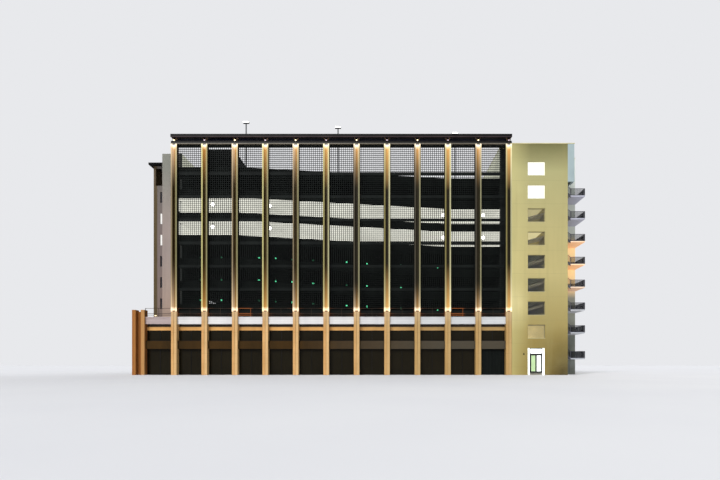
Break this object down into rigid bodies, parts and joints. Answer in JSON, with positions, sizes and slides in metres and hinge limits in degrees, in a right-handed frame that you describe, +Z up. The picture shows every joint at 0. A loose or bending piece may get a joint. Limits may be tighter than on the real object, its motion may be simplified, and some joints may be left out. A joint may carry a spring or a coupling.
{
  "type": "multi storey car park, 1:2 scale model",
  "caption": "Multi storey car park with a finned and meshed front, sloping decks, a stair tower with a glazed double door, a side core and an open escape stair.",
  "frame": {"origin": "centre of the overall footprint, at ground level", "axes": "+X to the right along the finned front, seen from the street; -Y towards the street; +Z up"},
  "size_m": [31.674, 17.36, 17.9388],
  "materials": {
    "concrete": "cast concrete",
    "dark_concrete": "dark painted concrete",
    "rear_wall": "rendered blockwork",
    "white_render": "pale render",
    "podium_roof": "paving",
    "dark_roof": "dark roofing",
    "cream_render": "cream render",
    "sandstone": "sandstone cladding",
    "fin_metal": "champagne anodised",
    "screen_steel": "near black",
    "white_panel": "white composite panel",
    "bronze_panel": "dark bronze",
    "dark_frame": "dark anodised",
    "bracket_metal": "champagne anodised",
    "shop_glass": "dark tinted glass",
    "window_glass": "clear glass",
    "rail_steel": "bronze paint",
    "door_metal": "dark anodised",
    "door_glass": "clear glass",
    "stair_concrete": "precast concrete",
    "stair_steel": "grey paint",
    "lamp_metal": "grey paint"
  },
  "bodies": {
    "building": {"ground_slab": "concrete", "left_end_decks": "concrete", "right_end_decks": "concrete", "front_ramp_decks": "concrete", "rear_ramp_decks": "concrete", "front_columns": "concrete", "spine_columns": "concrete", "rear_columns": "concrete", "core_floors": "concrete", "tower_floors": "concrete", "front_parapets": "dark_concrete", "rear_parapets": "dark_concrete", "end_parapets": "dark_concrete", "roof_edge_parapets": "dark_concrete", "ground_walls": "rear_wall", "podium_side_wall": "white_render", "core_side_walls": "white_render", "core_cross_walls": "white_render", "core_slot_wall": "white_render", "stair_back_wall": "white_render", "stair_head": "white_render", "podium_terrace": "podium_roof", "core_roofs": "dark_roof", "plant_room": "dark_roof", "tower_front_walls": "cream_render", "tower_spandrels": "cream_render", "tower_side_walls": "cream_render", "tower_return_wall": "cream_render", "tower_coping": "cream_render", "front_pilasters": "sandstone", "left_pylon": "sandstone", "bulkhead_beams": "sandstone", "front_fins": "fin_metal", "screen_frames": "screen_steel", "louvre_panel": "screen_steel", "fin_brackets": "screen_steel", "canopy_bands": "white_panel", "sign_bands": "bronze_panel", "shopfront_frames": "dark_frame", "tower_window_frames": "dark_frame", "cap_front": "dark_frame", "cap_beam": "dark_frame", "cap_arms": "bracket_metal", "cap_rail": "bracket_metal", "shopfront_glass": "shop_glass", "tower_window_glass": "window_glass", "core_slot_glass": "window_glass", "terrace_railings": "rail_steel", "entrance_frame": "door_metal", "entrance_side_panels": "door_glass", "stair_treads": "stair_concrete", "stair_landings": "stair_concrete", "stair_stringers": "stair_steel", "stair_guards": "stair_steel", "flight_guards": "stair_steel", "lamp_masts": "lamp_metal"},
    "left_leaf": {"door_left": "door_metal", "door_left_glass": "door_glass"},
    "right_leaf": {"door_right": "door_metal", "door_right_glass": "door_glass"}
  },
  "joints": [
    {"name": "left_leaf_hinge", "type": "hinge", "parent": "building", "child": "left_leaf", "pos_m": [11.833, -8.56, 0.15], "axis": [0, 0, -1], "range_deg": [0, 90]},
    {"name": "right_leaf_hinge", "type": "hinge", "parent": "building", "child": "right_leaf", "pos_m": [12.609, -8.56, 0.15], "axis": [0, 0, 1], "range_deg": [0, 90]}
  ]
}
